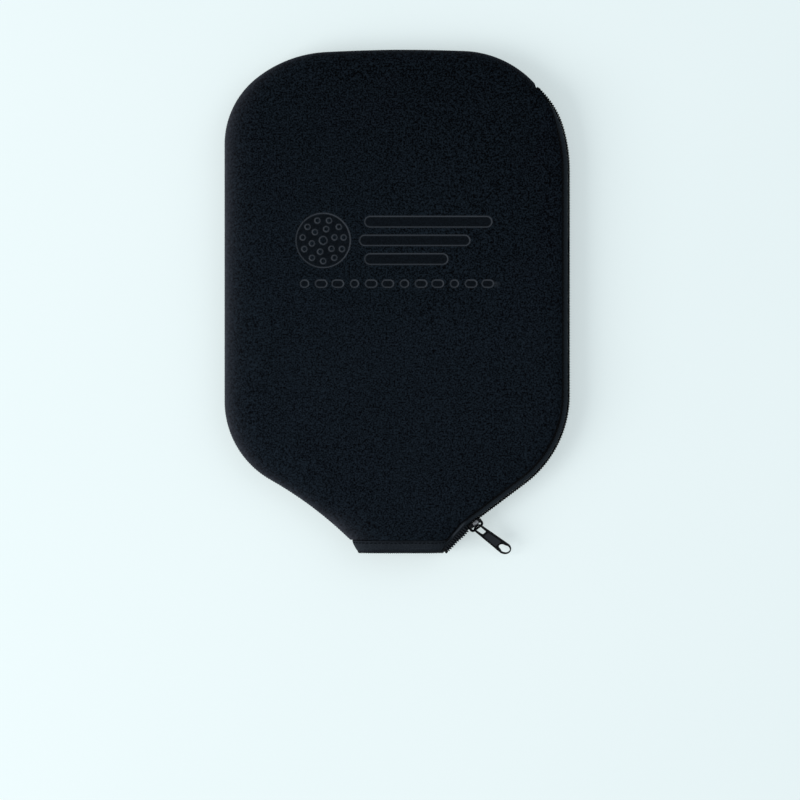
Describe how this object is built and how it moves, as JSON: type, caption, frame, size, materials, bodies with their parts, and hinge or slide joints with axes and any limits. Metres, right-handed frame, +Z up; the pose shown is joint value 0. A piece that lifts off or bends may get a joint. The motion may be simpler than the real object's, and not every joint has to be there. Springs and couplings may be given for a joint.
{
  "type": "paddle case",
  "caption": "Zipped neoprene cover for a racket-sports paddle: two padded panels closed round the edge, an open neck for the handle, and a sliding zip pull.",
  "frame": {"origin": "on the rest plane, under the middle of the whole case", "axes": "+Z up through the thickness, +Y towards the closed top, -Y towards the open neck, +X towards the zipped side"},
  "size_m": [0.2054, 0.3002, 0.021],
  "materials": {
    "neoprene_knit": "matt black jersey knit over neoprene foam",
    "zip_tape": "woven black polyester tape",
    "nylon_coil": "black nylon monofilament",
    "hem_binding": "ribbed black binding",
    "sewing_thread": "black polyester thread",
    "black_enamel": "gloss black enamel"
  },
  "bodies": {
    "case": {"front_panel": "neoprene_knit", "back_panel": "neoprene_knit", "front_zip_tape": "zip_tape", "back_zip_tape": "zip_tape", "front_coil": "nylon_coil", "back_coil": "nylon_coil", "front_end_stop": "black_enamel", "back_end_stop": "black_enamel", "top_stop": "black_enamel", "front_hem_binding": "hem_binding", "back_hem_binding": "hem_binding", "closed_seam_thread": "sewing_thread", "notch_bar_tack": "sewing_thread", "front_zip_stitching": "sewing_thread", "back_zip_stitching": "sewing_thread", "front_hem_stitching": "sewing_thread", "back_hem_stitching": "sewing_thread"},
    "slider": {"slider_body": "black_enamel", "slider_bridge": "black_enamel"},
    "pull": {"pull_tab": "black_enamel"}
  },
  "joints": [
    {"name": "slider_travel", "type": "slide", "parent": "case", "child": "slider", "axis": [0.7986, 0.6018, 0], "range_m": [0, 0.034]},
    {"name": "pull_swing", "type": "hinge", "parent": "slider", "child": "pull", "pos_m": [0.04798, -0.13407, 0.0105], "axis": [-0.7986, -0.6018, 0], "range_deg": [-5, 95]}
  ]
}
